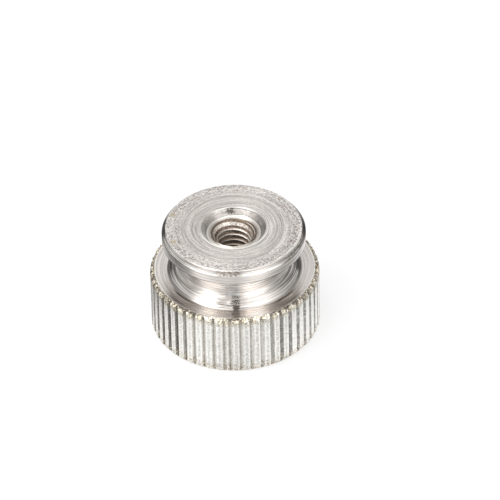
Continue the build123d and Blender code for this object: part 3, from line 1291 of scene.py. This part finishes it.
def ring_shoulder(skin, zones, grain, beside):
    """Painted highlights in bright rings all round the shoulder, and a painted light and a painted
    dark ring beside the front.
    """
    nodes = skin.nodes
    # Painted highlights: bright rings all round the shoulder.
    for inner, outer, strength in SHOULDER_RINGS:
        ring = nodes.band(skin.radius + (grain - 0.5) * 0.06, inner, outer, 0.02)
        skin.lay(ring * zones["shoulder"] * strength, BARE_METAL_AND_HIGHLIGHT)
    # Painted light and shade: a light and a dark ring beside the front.
    for inner, outer, edge, amount in SHOULDER_SIDE_RINGS:
        ring = nodes.band(skin.radius, inner, outer, edge)
        skin.tone(ring * zones["shoulder"] * beside * amount + 1.0)


def shade_neck(skin, zones, fine):
    """Painted light and shade on the flare and neck, by angle and height, with dark specks in front.
    """
    nodes, angle, height = skin.nodes, skin.angle, skin.height
    waist = nodes.band(height, NECK_FOOT_HEIGHT - 0.17, NECK_TOP_HEIGHT + 0.61, 0.15)
    # Painted light: the waist is lighter in front and darker at the sides.
    skin.tone(waist * nodes.ramp(skin.off_front, 32.0, 50.0, 0.28, -0.12) + 1.0)
    # Painted light and shade from the table of neck shades, and painted ring lines in front.
    shade = 1.0
    for first_angle, last_angle, edge, low, high, amount in NECK_SHADES:
        part = nodes.band(angle, first_angle, last_angle, edge) * nodes.band(height, low, high, 0.05)
        shade = part * amount + shade
    ringed = nodes.band(height, HEAD_HEIGHT + 0.09, COLLAR_FOOT_HEIGHT - 0.29, 0.1)
    ringed = ringed * nodes.band(angle, -11.0, 5.0, 2.5)
    skin.tone(shade + fine * ringed * 0.25)
    flecks = skin.mottle(13.0, 5.0, 0.58, 0.04)
    skin.lay(flecks * zones["neck"] * nodes.band(angle, -16.0, 2.0, 5.0) * 0.55, DARK_SMUT_AND_SHADE)


def shade_round(skin, zone, down, rows):
    """Paints light and shade on a part by rows of angles, each with an amount at the part's top and
    foot.
    """
    shade = 0.0
    for first_angle, last_angle, edge, at_top, at_foot in rows:
        part = skin.nodes.band(skin.angle, first_angle, last_angle, edge)
        shade = part * (down * (at_foot - at_top) + at_top) + shade
    skin.tone(zone * shade + 1.0)


def shade_corners(skin, beside):
    """Painted shade: dark lines along the corners at the tool line, the flare's foot and the collar,
    most of them stronger towards the sides.
    """
    nodes, off_front = skin.nodes, skin.off_front
    to_sides = nodes.ramp(off_front, 20.0, 45.0, 0.3, 1.0)
    to_front = nodes.ramp(off_front, 50.0, 40.0)
    lines = [
        (TOOL_LINE_RADIUS + 0.12, TOOL_LINE_HEIGHT - 0.08, 0.07, to_sides * 0.35),
        (TOOL_LINE_RADIUS - 0.03, TOOL_LINE_HEIGHT + 0.11, 0.07, to_sides * 0.45),
        (FLARE_FOOT_RADIUS - 0.03, HEAD_HEIGHT + 0.04, 0.07, to_sides * 0.2),
        (FLARE_FOOT_RADIUS + 0.15, HEAD_HEIGHT, 0.07, beside * 0.75),
        (FLARE_FOOT_RADIUS - 0.13, HEAD_HEIGHT + 0.11, 0.07, nodes.ramp(off_front, 68.0, 78.0) * 0.6),
        (FLARE_FOOT_RADIUS - 0.28, HEAD_HEIGHT + 0.22, 0.13, nodes.ramp(off_front, 78.0, 86.0) * 0.8),
        (FACE_RIM_RADIUS + 0.06, OVERALL_HEIGHT - 0.08, 0.07, to_front * 0.5),
        (COLLAR_RADIUS - 0.01, CHAMFER_FOOT_HEIGHT, 0.07, nodes.ramp(off_front, 38.0, 50.0) * 0.7),
        (COLLAR_RADIUS - 0.01, COLLAR_FOOT_HEIGHT + 0.03, 0.08, 0.95),
    ]
    for radius, height, width, strength in lines:
        skin.lay(skin.corner(radius, height, width) * strength, DARK_SMUT_AND_SHADE)


def stain_and_shade_chamfer(skin, zones):
    """Rings and brown stains on the collar's chamfer, and painted dark reflections at its left and
    right ends, reaching the band on the left.
    """
    nodes, angle = skin.nodes, skin.angle
    chamfer = zones["chamfer"]
    round_nut = nodes.join(skin.height * 19.0, skin.cosine * 0.5, skin.sine * 0.5)
    rings = nodes.noise(round_nut, 1.0, 1.0, 0.5, 4.0)
    skin.lay(chamfer * nodes.ramp(rings, 0.56, 0.48) * 0.45, DARK_SMUT_AND_SHADE)
    specks = skin.mottle(7.0, 1.3, 0.5, 0.04) * nodes.band(angle, -15.0, 5.0, 3.0)
    skin.lay(chamfer * specks * 0.85, BROWN_STAIN_AND_SHADE)
    stains = skin.mottle(6.0, 2.0, 0.52, 0.06) * nodes.band(angle, 45.0, 95.0, 10.0)
    skin.lay(chamfer * stains * 0.65, BROWN_STAIN_AND_SHADE)
    # Painted dark reflections at the chamfer's left and right ends, and on the band at the left.
    painted_dark_ends = nodes.ramp(skin.off_front, 74.0, 88.0) * nodes.ramp(skin.off_front, 115.0, 98.0)
    skin.lay(chamfer * painted_dark_ends, DARK_SMUT_AND_SHADE)
    skin.lay(zones["band"] * painted_dark_ends * nodes.ramp(angle, 0.0, -1.0) * 0.8, DARK_SMUT_AND_SHADE)


def soil_and_shade_mouth(skin, zones, grain):
    """A mottled cone with a dark smudge and painted light and shade, and a pale ledge with a dark
    brown band painted on its inner edge.
    """
    nodes, angle, off_front = skin.nodes, skin.angle, skin.off_front
    mouth = zones["mouth"]
    skin.lay(mouth * 0.6, NICKEL)
    # Painted shade: the cone is made darker.
    skin.tone(1.0 - mouth * 0.15)
    skin.lay(mouth * skin.mottle(7.0, 1.2, 0.57, 0.06) * 0.3, DARK_SMUT_AND_SHADE)
    skin.lay(skin.mark(MOUTH_SMUDGE, 0.3, 2.6, 6.0) * 0.8, DARK_SMUT_AND_SHADE)
    # Painted light and shade: lighter at the left side and back left, darker at the right side and
    # back right.
    back = nodes.band(angle, -152.0, -112.0, 8.0) * 0.35 - nodes.band(angle, 140.0, 172.0, 8.0) * 0.18
    sides = nodes.band(off_front, 60.0, 104.0, 8.0) * nodes.ramp(angle, -1.0, 1.0, -0.15, 0.22)
    skin.tone(mouth * ((grain - 0.5) * 0.9 + back - sides) + 1.0)
    ledge = nodes.band(skin.radius, THREAD_MAJOR_RADIUS, MOUTH_FLOOR_RADIUS, 0.04) * zones["top"]
    skin.lay(ledge * 0.85, nodes.tone(PALE_LEDGE, 0.75 + grain * 0.7))
    # A dark brown band painted on the ledge's inner edge at the sides and back, which makes the hole
    # look wider than it is built.
    ledge_band_edge = skin.radius + (grain - 0.5) * 0.25
    ledge_dark_band = nodes.ramp(ledge_band_edge, LEDGE_RADIUS + 0.20, LEDGE_RADIUS + 0.12)
    ledge_dark_band = ledge_dark_band * nodes.ramp(off_front, 35.0, 60.0) * zones["top"]
    skin.lay(ledge_dark_band * 0.85, THREAD_BROWN)


def highlight_corners(skin):
    """Painted highlights: bright lines along rounded corners, the one at the chamfer's foot mostly in
    front.
    """
    nodes = skin.nodes
    in_front = nodes.ramp(skin.off_front, 50.0, 38.0, 0.0, 0.55)
    corners = [
        (FACE_RIM_RADIUS, OVERALL_HEIGHT, 0.06, 0.15),
        (
            COLLAR_RADIUS - 0.03,
            CHAMFER_FOOT_HEIGHT + 0.05,
            0.06,
            in_front - nodes.band(skin.angle, -14.0, 3.0, 3.0) * 0.45,
        ),
        (TOOL_LINE_RADIUS + 0.04, TOOL_LINE_HEIGHT, 0.06, 0.9),
        (MOUTH_RADIUS, OVERALL_HEIGHT, 0.06, 0.9),
        (MOUTH_FLOOR_RADIUS - 0.06, MOUTH_FLOOR_HEIGHT - 0.01, 0.08, 0.9),
    ]
    for radius, height, width, strength in corners:
        skin.lay(skin.corner(radius, height, width) * strength, BARE_METAL_AND_HIGHLIGHT)


def turned_nickel(kit):
    """The shoulder, flare, neck, collar and mouth, as the tool left them under the plating, with
    painted light and shade.
    """
    skin = Finish("turned_nickel", kit, NICKEL, STREAK_ANGLE)
    nodes = skin.nodes
    zones = turned_zones(skin)
    turning = skin.turning(5.0, 0.004, 1.0)
    fine = skin.turning(10.0, 0.001, 31.0)["Shade"]
    grain = skin.noise(6.5, 3.0, 0.75, 2.0)
    beside = nodes.band(skin.off_front, 38.0, 57.0, 5.0)
    down_band = nodes.ramp(skin.height, CHAMFER_FOOT_HEIGHT, COLLAR_FOOT_HEIGHT, shape="LINEAR")
    down_chamfer = nodes.ramp(skin.height, OVERALL_HEIGHT, CHAMFER_FOOT_HEIGHT, shape="LINEAR")
    shade_rings(skin, zones, turning["Shade"], fine)
    film_and_light_shoulder(skin, zones)
    streak_front(skin, zones, grain)
    ring_shoulder(skin, zones, grain, beside)
    shade_neck(skin, zones, fine)
    shade_round(skin, zones["band"], down_band, BAND_SHADES)
    shade_corners(skin, beside)
    shade_round(skin, zones["chamfer"], down_chamfer, CHAMFER_SHADES)
    stain_and_shade_chamfer(skin, zones)
    soil_and_shade_mouth(skin, zones, grain)
    highlight_corners(skin)
    roughness = 0.36 - zones["shoulder"] * 0.12 + zones["mouth"] * 0.2
    return skin.metal(roughness, turning["Normal"], 0.9)


# Faced top of the collar


def faced_nickel(kit):
    """The faced top of the collar: fine rings, pitted and stained towards the rim, with painted
    highlights on the rim and the mouth's lip.
    """
    skin = Finish("faced_nickel", kit, NICKEL)
    nodes, radius = skin.nodes, skin.radius
    turning = skin.turning(4.5, 0.001, 5.0)
    fine = skin.turning(11.0, 0.001, 15.0)["Shade"]
    grain = skin.noise(8.0, 2.0, 0.6, 51.0)
    skin.tone(1.0 + turning["Shade"] * 0.17 + fine * 0.3 + (grain - 0.5) * 0.6)
    near_rim = nodes.ramp(radius, FACE_RIM_RADIUS - 1.52, FACE_RIM_RADIUS - 0.32, 0.2)
    skin.lay(skin.mottle(7.0, 1.5, 0.56, 0.05) * near_rim, PIT_BROWN)
    skin.lay(skin.mottle(7.0, 1.5, 0.56, 0.05, 9.0) * near_rim * 0.8, BARE_METAL_AND_HIGHLIGHT)
    for centre, size in TAN_SPOTS:
        skin.lay(skin.mark(centre, size, 1.5, 3.5) * 0.6, TAN_SPOT)
    # A painted highlight along the rim.
    skin.lay(skin.corner(FACE_RIM_RADIUS - 0.02, OVERALL_HEIGHT, 0.07) * 0.2, BARE_METAL_AND_HIGHLIGHT)

    # The rounded lip of the mouth has a painted highlight in front, inside a thin painted dark line.
    in_view = nodes.ramp(skin.off_front, 85.0, 60.0)
    lip = nodes.band(radius, MOUTH_RADIUS - 0.06, MOUTH_RADIUS + 0.14, 0.02)
    skin.lay(lip * in_view * 0.8, BARE_METAL_AND_HIGHLIGHT)
    lip_line = nodes.band(radius, MOUTH_RADIUS + 0.18, MOUTH_RADIUS + 0.23, 0.02)
    skin.lay(lip_line * in_view * 0.5, DARK_SMUT_AND_SHADE)
    return skin.metal(0.34, turning["Normal"], 0.6)


# Knurled rim of the head


def shade_teeth(skin, teeth, streaks):
    """Satin tops in streaky grey, painted lighter at the left and more at the right and darker in
    their hollow middles, with painted highlights along their edges.
    """
    nodes = skin.nodes
    ridge, hollow = skin.attribute("ridge"), skin.attribute("hollow")
    at_right = nodes.ramp(skin.angle, 32.0, 46.0) * skin.off_back
    # Painted light: lighter at the left and more so at the right; painted shade in the hollow middles.
    grey = 0.60 + teeth["at left"] * 0.07 + at_right * 0.25 + streaks * 0.5
    skin.tone(grey + teeth["speckle"] * 0.38 - hollow * 0.28)
    # Painted highlights along the edges of the teeth.
    skin.lay(ridge * 0.75, RIDGE_HIGHLIGHT)


def soil_and_shade_grooves(skin, teeth):
    """Darker floor and flanks of the grooves, partly dirt and partly painted shade, thinner in front
    and stronger towards the sides.
    """
    nodes, off_front = skin.nodes, skin.off_front
    groove, flank = skin.attribute("groove"), skin.attribute("flank")
    away, at_left = teeth["away"], teeth["at left"]
    shift = teeth["specks"] - 0.5
    in_groove = nodes.ramp(groove, 0.0, 0.1)
    floor_dirt_and_shade = nodes.ramp(away + shift * 0.26, 0.11, 0.02) * in_groove
    floor_dirt_and_shade = floor_dirt_and_shade * nodes.ramp(off_front, 28.0, 52.0, 0.4, 1.0)
    waves = nodes.join(skin.cosine * HEAD_RADIUS, skin.sine * HEAD_RADIUS, skin.height * 0.4)
    waves = nodes.noise(waves, 6.0, 2.0, 0.6, 61.0)
    flank_dirt_and_shade = nodes.ramp(flank + (waves - 0.5) * 0.5, 0.1, 0.8, 0.0, 0.82)
    to_sides = nodes.ramp(off_front, 14.0 + at_left * 14.0, 34.0 + at_left * 16.0, 0.25, 1.15)
    flank_dirt_and_shade = flank_dirt_and_shade * to_sides * (1.25 - teeth["speckle"] * 0.4)
    near_head = nodes.ramp(skin.height, HEAD_HEIGHT - 0.4, HEAD_HEIGHT - 0.1)
    strength = 0.75 + teeth["grain"] * 0.4 - near_head * 0.4
    skin.lay(nodes.high(floor_dirt_and_shade, flank_dirt_and_shade) * strength, GROOVE_DIRT_AND_SHADE)
    # Painted shade: a dark core along the floor of each groove, stronger towards the sides.
    core = nodes.ramp(away + shift * 0.12, 0.06, 0.01) * in_groove
    skin.lay(core * nodes.ramp(off_front, 28.0, 52.0, 0.25, 0.8), DARK_SMUT_AND_SHADE)


def tear_heads(skin, teeth, highlight_fans):
    """Torn metal at the head of each tooth: a cream burr and brown stains, with painted shade on the
    chamfer, round the burr and along the shoulder's edge.
    """
    nodes = skin.nodes
    end, down, specks = teeth["end"], teeth["down"], teeth["specks"]
    off_middle = KNURL_PITCH / 2 - teeth["away"]
    above = nodes.high(BURR_REACH - down * 1.2, 0.0)
    from_middle = nodes.math("SQRT", off_middle * off_middle + above * above)
    inside = BURR_REACH - from_middle + (specks - 0.5) * 0.14
    chamfer_foot = HEAD_HEIGHT - SHOULDER_CHAMFER_HEIGHT
    on_chamfer = nodes.ramp(skin.height, chamfer_foot - 0.1, HEAD_HEIGHT - 0.1)
    patchy = nodes.ramp(skin.noise(1.1, 2.0, 0.6, 31.0), 0.42, 0.6, 0.35)
    skin.lay(end * 0.4, nodes.tone(CREAM_BURR, 0.5 + teeth["grain"] * 0.8))
    # Painted shade: the chamfer at the head is made darker.
    skin.lay(on_chamfer * end, nodes.tone(skin.colour, 0.78))
    # Painted shade round the burr.
    burr_rim_shade = nodes.ramp(inside, 0.02, -0.04) * nodes.ramp(skin.off_front, 16.0, 30.0, 0.4, 0.6)
    skin.lay(end * burr_rim_shade, DARK_SMUT_AND_SHADE)
    burr = nodes.band(inside, 0.01, 0.09, 0.02) * patchy
    skin.lay(end * burr, nodes.tone(CREAM_BURR, 1.2))
    skin.lay(end * nodes.ramp(specks, 0.49, 0.56) * 0.7, BROWN_FILM)
    # Painted shade along the shoulder's edge, weaker in the bright bands.
    seam_shade = nodes.band(down, -0.02, 0.07, 0.02) * end
    skin.lay(seam_shade * (0.7 - highlight_fans * 0.6), DARK_SMUT_AND_SHADE)


def fleck_ends(skin, teeth):
    """Glints on the outer half of each tooth's head, and flecks at both ends."""
    nodes, angle, down, away = skin.nodes, skin.angle, teeth["down"], teeth["away"]
    chips = skin.noise(8.0, 2.0, 0.6, 41.0)
    left_half = skin.attribute("left_half")
    outer = left_half * nodes.ramp(angle, -5.0, -12.0)
    outer = outer + (1.0 - left_half) * nodes.ramp(angle, 0.0, 8.0)
    glint = nodes.band(down, 0.12, 0.42, 0.06) * nodes.band(away, 0.13, 0.25, 0.03) * outer
    skin.lay(glint * 0.9, GLINT_WHITE)
    near_foot = nodes.ramp(skin.height + (teeth["torn"] - 0.5) * 1.4, 0.95, 0.6)
    at_ends = nodes.ramp(down, 0.8, 0.5) * nodes.unit(teeth["end"] * 2.0) + near_foot
    skin.lay(at_ends * nodes.ramp(chips, 0.56, 0.6) * 0.75, DARK_SMUT_AND_SHADE)
    skin.lay(at_ends * nodes.ramp(chips, 0.44, 0.4), nodes.tone(CREAM_BURR, 1.35))
    skin.lay(near_foot * nodes.ramp(teeth["specks"], 0.5, 0.56) * 0.3, BROWN_FILM)


def shade_heads(skin, teeth, highlight_fans):
    """Painted light and shade: the heads of the teeth are brighter or darker by their angle from the
    front.
    """
    nodes, angle, off_front, down = skin.nodes, skin.angle, skin.off_front, teeth["down"]
    lip_tone = highlight_fans * 0.5 - nodes.band(off_front, 29.0, 55.0, 4.0) * 0.26
    lip_tone = lip_tone + nodes.ramp(off_front, 57.0, 66.0) * 0.18
    lip_tone = lip_tone - nodes.band(angle, -3.0, 3.0, 1.5) * 0.26
    head_tone = nodes.band(angle, -11.0, -4.0, 2.0) * 0.22 - nodes.ramp(off_front, 38.0, 48.0) * 0.1
    head_tone = head_tone * nodes.band(down, 0.12, 0.5, 0.08)
    skin.tone(lip_tone * nodes.ramp(down, 0.16, 0.05) + head_tone + 1.0)


def knurled_nickel(kit):
    """Satin teeth with dirt and painted shade between them, torn, stained metal at their ends, and
    painted light and highlights.
    """
    skin = Finish("knurled_nickel", kit, SATIN_LAND)
    nodes, angle = skin.nodes, skin.angle
    grain = skin.noise(8.0, 3.0, 0.7, 3.0)
    torn = skin.noise(3.0, 3.0, 0.7, 11.0)
    teeth = {
        "away": skin.attribute("from_groove"),
        "end": skin.attribute("tooth_end"),
        "down": HEAD_HEIGHT - skin.height + (torn - 0.5) * 0.5,
        "at left": nodes.ramp(angle, 5.0, -25.0) * skin.off_back,
        "grain": grain,
        "speckle": nodes.ramp(grain, 0.36, 0.64),
        "specks": skin.noise(5.0, 3.0, 0.7, 23.0),
        "torn": torn,
    }
    around = HEAD_RADIUS * 7.0
    along = nodes.join(skin.cosine * around, skin.sine * around, skin.height * 0.8)
    streaks = nodes.noise(along, 1.0, 3.0, 0.65)
    # Angles where the heads get painted highlights and the shoulder's edge less painted shade.
    highlight_fans = nodes.band(angle, 5.0, 25.0, 4.0) + nodes.band(angle, -26.0, -9.0, 4.0)
    shade_teeth(skin, teeth, streaks)
    soil_and_shade_grooves(skin, teeth)
    tear_heads(skin, teeth, highlight_fans)
    fleck_ends(skin, teeth)
    shade_heads(skin, teeth, highlight_fans)
    relief = streaks * 0.6 + grain * 0.4 + torn * teeth["end"]
    return skin.metal(0.48 + teeth["end"] * 0.15, skin.bump(relief))


# Thread


def tapped_nickel(kit):
    """The thread: pale speckled crests and dark brown roots, painted darker deeper in the hole, with a
    painted highlight at the mouth.
    """
    skin = Finish("tapped_nickel", kit, PALE_LEDGE)
    nodes, angle, height = skin.nodes, skin.angle, skin.height
    depth = skin.attribute("thread_depth")
    grain = skin.noise(8.0, 3.0, 0.75)
    skin.tone(nodes.ramp(grain, 0.36, 0.62, 0.4, 1.15))
    on_lead_in = nodes.ramp(height, LEAD_IN_HEIGHT, LEDGE_HEIGHT - 0.15)
    root = nodes.ramp(depth - on_lead_in * 0.05 + (grain - 0.5) * 1.2, 0.2, 0.45)
    skin.lay(root * 0.95, nodes.tone(THREAD_BROWN, nodes.ramp(grain, 0.4, 0.6, 0.5, 1.9)))
    # Painted shade: darker deeper in the hole.
    skin.lay(nodes.ramp(height, LEAD_IN_HEIGHT - 0.4, LEAD_IN_HEIGHT - 1.1) * 0.6, THREAD_BROWN)
    # A painted highlight along the top of the thread where it meets the ledge, on the right towards
    # the back.
    mouth_highlight = nodes.ramp(skin.radius, LEDGE_RADIUS - 0.06, LEDGE_RADIUS - 0.03)
    mouth_highlight = mouth_highlight * nodes.ramp(angle, 150.0, 120.0) * nodes.ramp(angle, 0.0, 30.0)
    skin.lay(mouth_highlight, nodes.tone(PALE_LEDGE, 0.7 + grain * 0.6))
    return skin.metal(0.5, skin.bump(grain))


# Set, light and camera


def shows_as_white(nodes, share):
    """The share of plain white in a surface, for the camera and for reflections."""
    path = nodes.add("ShaderNodeLightPath")
    seen = Field(nodes, path.outputs["Is Camera Ray"]) + Field(nodes, path.outputs["Is Glossy Ray"])
    seen = nodes.low(seen + Field(nodes, path.outputs["Is Transmission Ray"]), 1.0)
    return seen * share


def make_floor():
    """A white floor that keeps the nut's shadow and is clear from below."""
    half = FLOOR_HALF
    mesh = bpy.data.meshes.new("floor")
    corners = [(-half, -half, 0.0), (half, -half, 0.0), (half, half, 0.0), (-half, half, 0.0)]
    mesh.from_pydata(corners, [], [(0, 1, 2, 3)])
    floor = into_scene("floor", mesh)
    material, nodes = new_material("white_floor")
    paper = nodes.add("ShaderNodeBsdfDiffuse", {"Color": (0.9, 0.9, 0.9, 1.0)})
    glow = nodes.add("ShaderNodeEmission", {"Color": (1.0, 1.0, 1.0, 1.0), "Strength": 1.0})
    top = nodes.add(
        "ShaderNodeMixShader",
        {0: shows_as_white(nodes, 0.8), 1: paper.outputs[0], 2: glow.outputs[0]},
    )
    clear = nodes.add("ShaderNodeBsdfTransparent")
    geometry = nodes.add("ShaderNodeNewGeometry")
    both = nodes.add(
        "ShaderNodeMixShader",
        {0: geometry.outputs["Backfacing"], 1: top.outputs[0], 2: clear.outputs[0]},
    )
    end_in(nodes, both)
    mesh.materials.append(material)


def make_world():
    """A room that fills the floor with light and is plain white behind the nut."""
    world = bpy.data.worlds.new("studio")
    bpy.context.scene.world = world
    world.use_nodes = True
    world.node_tree.nodes.clear()
    nodes = Nodes(world.node_tree)
    path = nodes.add("ShaderNodeLightPath")
    glossy = Field(nodes, path.outputs["Is Glossy Ray"])
    strength = ROOM_FILL + shows_as_white(nodes, 1.0 - ROOM_FILL)
    strength = strength - glossy * (1.0 - ROOM_REFLECTION)
    sky = nodes.add("ShaderNodeBackground", {"Color": (1.0, 1.0, 1.0, 1.0), "Strength": strength})
    end_in(nodes, sky, "ShaderNodeOutputWorld")


def make_card(name, first_edge, last_edge, stops):
    """A card between two arcs, each given by radius and height, shaded from stop to stop."""
    points = []
    shades = []
    faces = []
    for azimuth, shade in stops:
        turn = math.radians(azimuth)
        for radius, height in (first_edge, last_edge):
            points.append((radius * math.sin(turn), -radius * math.cos(turn), height))
            shades.append(shade)
    for first in range(0, 2 * len(stops) - 2, 2):
        faces.append((first, first + 1, first + 3, first + 2))
    mesh = bpy.data.meshes.new(name)
    mesh.from_pydata([[part * MM for part in point] for point in points], [], faces)
    mesh.attributes.new("shade", "FLOAT", "POINT").data.foreach_set("value", shades)
    card = into_scene(name, mesh)
    material, nodes = new_material(name + "_paper")
    shade = nodes.add("ShaderNodeAttribute", attribute_type="GEOMETRY", attribute_name="shade")
    glow = nodes.add("ShaderNodeEmission", {"Strength": shade.outputs["Fac"]})
    end_in(nodes, glow)
    mesh.materials.append(material)
    for ray in ("camera", "diffuse", "transmission", "volume_scatter", "shadow"):
        setattr(card, "visible_" + ray, False)


def make_lamp(name, place, size, power):
    """A square soft lamp, aimed at the nut."""
    data = bpy.data.lights.new(name, "AREA")
    data.shape = "SQUARE"
    data.size = size
    data.energy = power
    lamp = into_scene(name, data)
    lamp.location = place
    lamp.rotation_euler = (-Vector(place)).to_track_quat("-Z", "Y").to_euler()


def make_camera():
    """The photograph's view: a long lens, tipped down, with a slight roll."""
    elevation = math.radians(CAMERA_ELEVATION)
    back = Vector((0.0, -math.cos(elevation), math.sin(elevation)))
    aim = Vector((0.0, 0.0, AIM_HEIGHT * MM))
    data = bpy.data.cameras.new("camera")
    data.sensor_width = SENSOR_WIDTH
    data.lens = PIXELS_PER_MM * CAMERA_DISTANCE / PHOTO_SIZE * SENSOR_WIDTH
    data.shift_x = 0.5 - AIM_PIXEL[0] / PHOTO_SIZE
    data.shift_y = AIM_PIXEL[1] / PHOTO_SIZE - 0.5
    data.clip_start = 0.01
    data.clip_end = 20.0
    camera = into_scene("camera", data)
    look = (-back).to_track_quat("-Z", "Y").to_matrix().to_4x4()
    roll = Matrix.Rotation(math.radians(-CAMERA_ROLL), 4, "Z")
    camera.matrix_world = Matrix.Translation(aim + back * CAMERA_DISTANCE * MM) @ look @ roll
    bpy.context.scene.camera = camera


make_camera()
make_world()
make_floor()
for name, first_edge, last_edge, stops in CARDS:
    make_card(name, first_edge, last_edge, stops)
make_lamp("top_lamp", LAMP_PLACE, LAMP_SIZE, LAMP_POWER)

place = turned_place_group()
kit = {
    "place": place,
    "marks": turning_marks_group(place),
    "mottle": mottle_group(place),
    "mark": local_mark_group(place),
    "edge": corner_line_group(place),
}
nut = make_nut([
    (turned_nickel(kit), ""),
    (faced_nickel(kit), "faced"),
    (knurled_nickel(kit), "knurl"),
    (tapped_nickel(kit), "tapped"),
])
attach(nut, "root")
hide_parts(NODE)

bpy.context.scene.view_settings.view_transform = "Standard"
